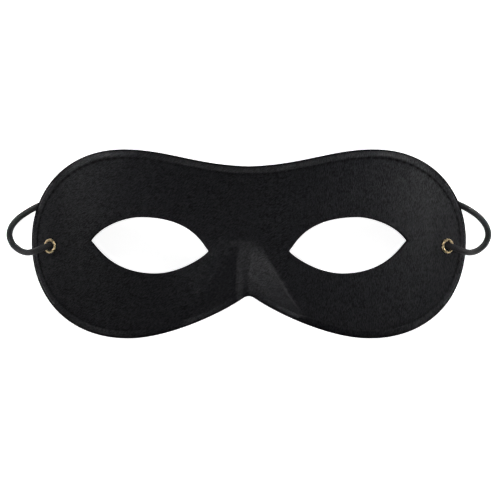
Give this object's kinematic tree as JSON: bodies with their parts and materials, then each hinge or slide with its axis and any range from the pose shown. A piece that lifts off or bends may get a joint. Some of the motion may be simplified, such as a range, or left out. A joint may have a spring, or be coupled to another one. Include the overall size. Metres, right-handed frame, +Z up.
{
  "type": "domino mask",
  "caption": "Black fabric half mask with almond eye openings, a pressed nose, brass temple eyelets and a round elastic cord, lying front up.",
  "frame": {"origin": "on the floor, under the middle of the mask without its cord", "axes": "+X towards the temple on the right of the picture, +Y from the cheeks to the brow, +Z up out of the mask's front"},
  "size_m": [0.2066, 0.0804, 0.0452],
  "materials": {
    "mask_fabric": "matte",
    "eyelet_brass": "satin",
    "elastic_cord": "matte"
  },
  "bodies": {
    "root": {"mask_body": "mask_fabric", "left_eyelet": "eyelet_brass", "right_eyelet": "eyelet_brass", "elastic_cord": "elastic_cord", "left_cord_knot": "elastic_cord", "right_cord_knot": "elastic_cord"}
  },
  "joints": []
}
